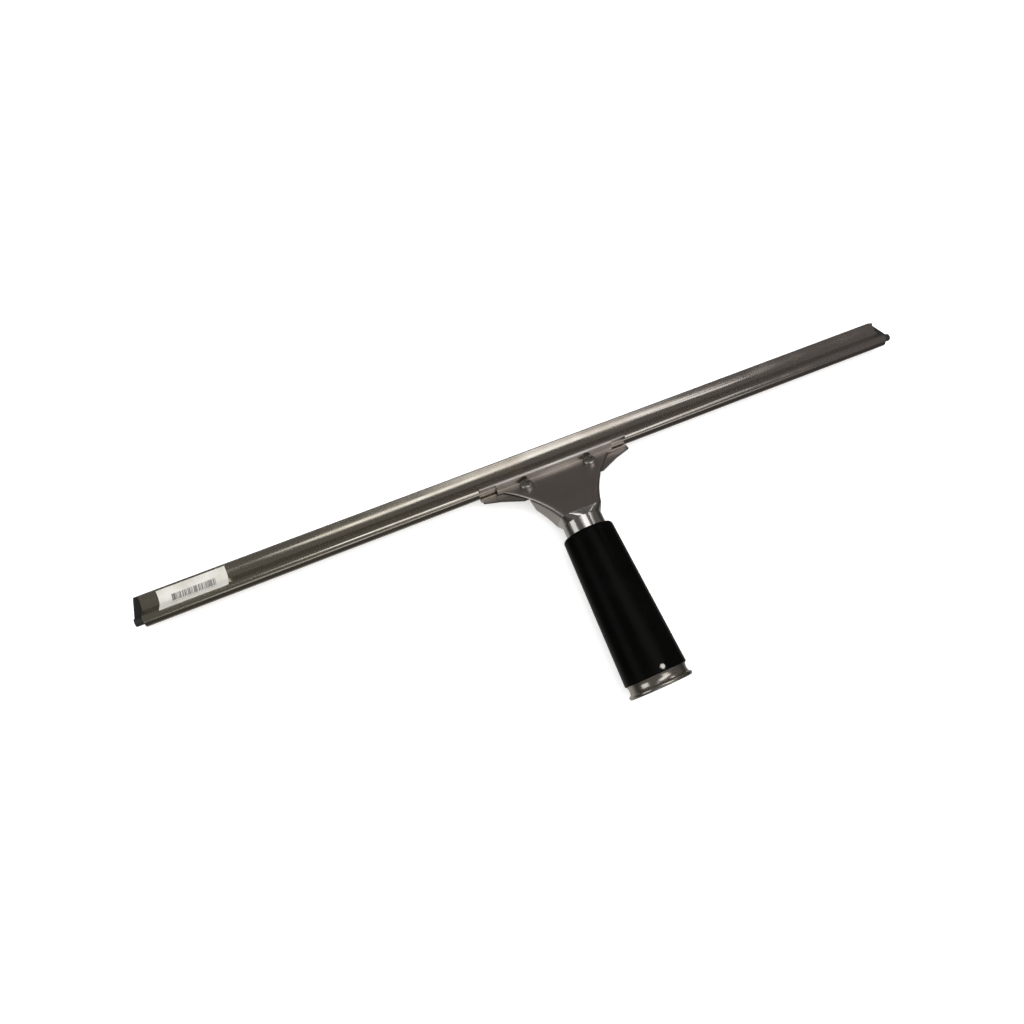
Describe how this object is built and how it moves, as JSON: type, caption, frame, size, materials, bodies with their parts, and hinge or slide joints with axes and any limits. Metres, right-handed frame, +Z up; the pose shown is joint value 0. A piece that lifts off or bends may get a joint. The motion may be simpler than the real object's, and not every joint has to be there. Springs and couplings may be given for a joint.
{
  "type": "window cleaning squeegee",
  "caption": "Window cleaning squeegee: a long stainless channel with a rubber blade, clamped in the trowel-shaped head of a short tubular handle with a rubber grip and a pole socket.",
  "frame": {"origin": "bottom centre of the bounding box, on the surface the squeegee lies on", "axes": "+X along the channel, +Y from the handle towards the blade, +Z up, with the handle's axis level and the head plate facing up"},
  "size_m": [0.518, 0.1674, 0.0392],
  "materials": {
    "channel_steel": "bright rolled stainless",
    "head_steel": "satin pressed stainless",
    "tube_steel": "polished stainless",
    "fastener_steel": "zinc bright",
    "spring_steel": "spring strip",
    "blade_rubber": "soft black rubber",
    "grip_rubber": "smooth matt black rubber",
    "label_paper": "white paper with grey bars",
    "socket_plastic": "moulded black"
  },
  "bodies": {
    "handle": {"head_plate": "head_steel", "handle_tube": "tube_steel", "washer_left": "fastener_steel", "washer_right": "fastener_steel", "rubber_grip": "grip_rubber", "end_ferrule": "tube_steel", "grip_rivet": "fastener_steel", "pole_socket": "socket_plastic"},
    "jaw": {"lower_jaw": "head_steel", "jaw_nut_left": "fastener_steel", "jaw_nut_right": "fastener_steel"},
    "screw_left": {"clamp_screw_left": "fastener_steel"},
    "screw_right": {"clamp_screw_right": "fastener_steel"},
    "channel": {"channel": "channel_steel", "paper_label": "label_paper"},
    "rubber": {"squeegee_rubber": "blade_rubber"},
    "clip_left": {"end_clip_left": "spring_steel"},
    "clip_right": {"end_clip_right": "spring_steel"}
  },
  "joints": [
    {"name": "screw_left_turn", "type": "hinge", "parent": "handle", "child": "screw_left", "pos_m": [-0.0216, 0.05747, 0.01666], "axis": [0, 0.454, 0.891], "range_deg": [0, 822.87]},
    {"name": "screw_right_turn", "type": "hinge", "parent": "handle", "child": "screw_right", "pos_m": [0.0216, 0.05747, 0.01666], "axis": [0, 0.454, 0.891], "range_deg": [0, 822.87]},
    {"name": "jaw_open", "type": "slide", "parent": "handle", "child": "jaw", "axis": [0, -0.454, -0.891], "range_m": [0, 0.0016]},
    {"name": "channel_slide", "type": "slide", "parent": "handle", "child": "channel", "axis": [1, 0, 0], "range_m": [-0.06, 0.06]},
    {"name": "rubber_slide", "type": "slide", "parent": "channel", "child": "rubber", "axis": [1, 0, 0], "range_m": [-0.03, 0.03]},
    {"name": "clip_left_pull", "type": "slide", "parent": "channel", "child": "clip_left", "axis": [-1, 0, 0], "range_m": [0, 0.013]},
    {"name": "clip_right_pull", "type": "slide", "parent": "channel", "child": "clip_right", "axis": [1, 0, 0], "range_m": [0, 0.013]}
  ],
  "couplings": [
    {"joint": "screw_left_turn", "follows": "jaw_open", "rad_per_m": 8976},
    {"joint": "screw_right_turn", "follows": "jaw_open", "rad_per_m": 8976}
  ]
}
